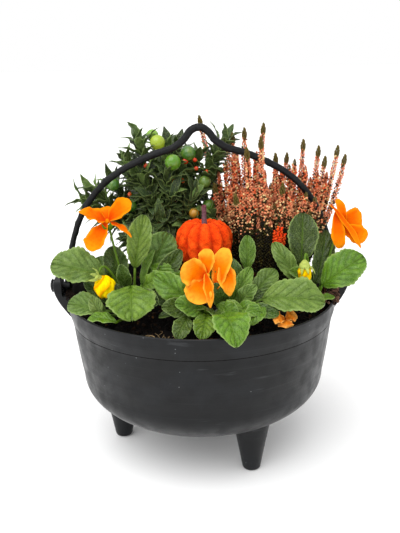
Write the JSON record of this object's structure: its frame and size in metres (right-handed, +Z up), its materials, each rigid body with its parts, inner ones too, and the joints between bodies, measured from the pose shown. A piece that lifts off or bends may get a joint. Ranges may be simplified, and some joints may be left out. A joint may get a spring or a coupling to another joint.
{
  "type": "planted cauldron pot",
  "caption": "Round three-legged cauldron planter with a swinging bail, filled with soil, pansies, heather, a berry shrub and a velvet pumpkin on a pick.",
  "frame": {"origin": "on the ground under the middle of the bowl, which is also the bottom centre of the whole object's box to within 2.5 mm", "axes": "+Z up, +X along the bail's pivot line towards the right ear, -Y towards the front, where the pansies are"},
  "size_m": [0.2888, 0.2541, 0.3029],
  "materials": {
    "black_plastic": "satin",
    "soil": "matte",
    "pansy_green": "satin",
    "petal_orange": "matte",
    "bud_yellow": "matte",
    "petal_withered": "matte",
    "heather_coral": "matte",
    "shrub_green": "satin",
    "berry_green": "gloss",
    "berry_yellow": "gloss",
    "berry_orange": "gloss",
    "velvet_orange": "matte",
    "twig": "matte",
    "pick_wood": "matte"
  },
  "bodies": {
    "planter": {"pot": "black_plastic", "soil": "soil", "pansy_left_plant": "pansy_green", "pansy_center_plant": "pansy_green", "pansy_right_plant": "pansy_green", "pansy_left_bloom": "petal_orange", "pansy_center_bloom": "petal_orange", "pansy_right_bloom": "petal_orange", "pansy_left_bud": "bud_yellow", "pansy_right_bud": "bud_yellow", "pansy_low_bloom": "petal_withered", "heather_1": "heather_coral", "heather_2": "heather_coral", "heather_3": "heather_coral", "heather_4": "heather_coral", "shrub": "shrub_green", "pumpkin": "velvet_orange", "pumpkin_twig": "twig", "pumpkin_pick": "pick_wood", "berry_1": "berry_yellow", "berry_2": "berry_green", "berry_3": "berry_green", "berry_4": "berry_green", "berry_5": "berry_green", "berry_6": "berry_green", "berry_7": "berry_orange", "berry_8": "berry_green", "berry_9": "berry_yellow"},
    "bail": {"bail": "black_plastic"}
  },
  "joints": [
    {"name": "bail_swing", "type": "hinge", "parent": "planter", "child": "bail", "pos_m": [0, 0, 0.157], "axis": [1, 0, 0], "range_deg": [-6, 6]}
  ]
}
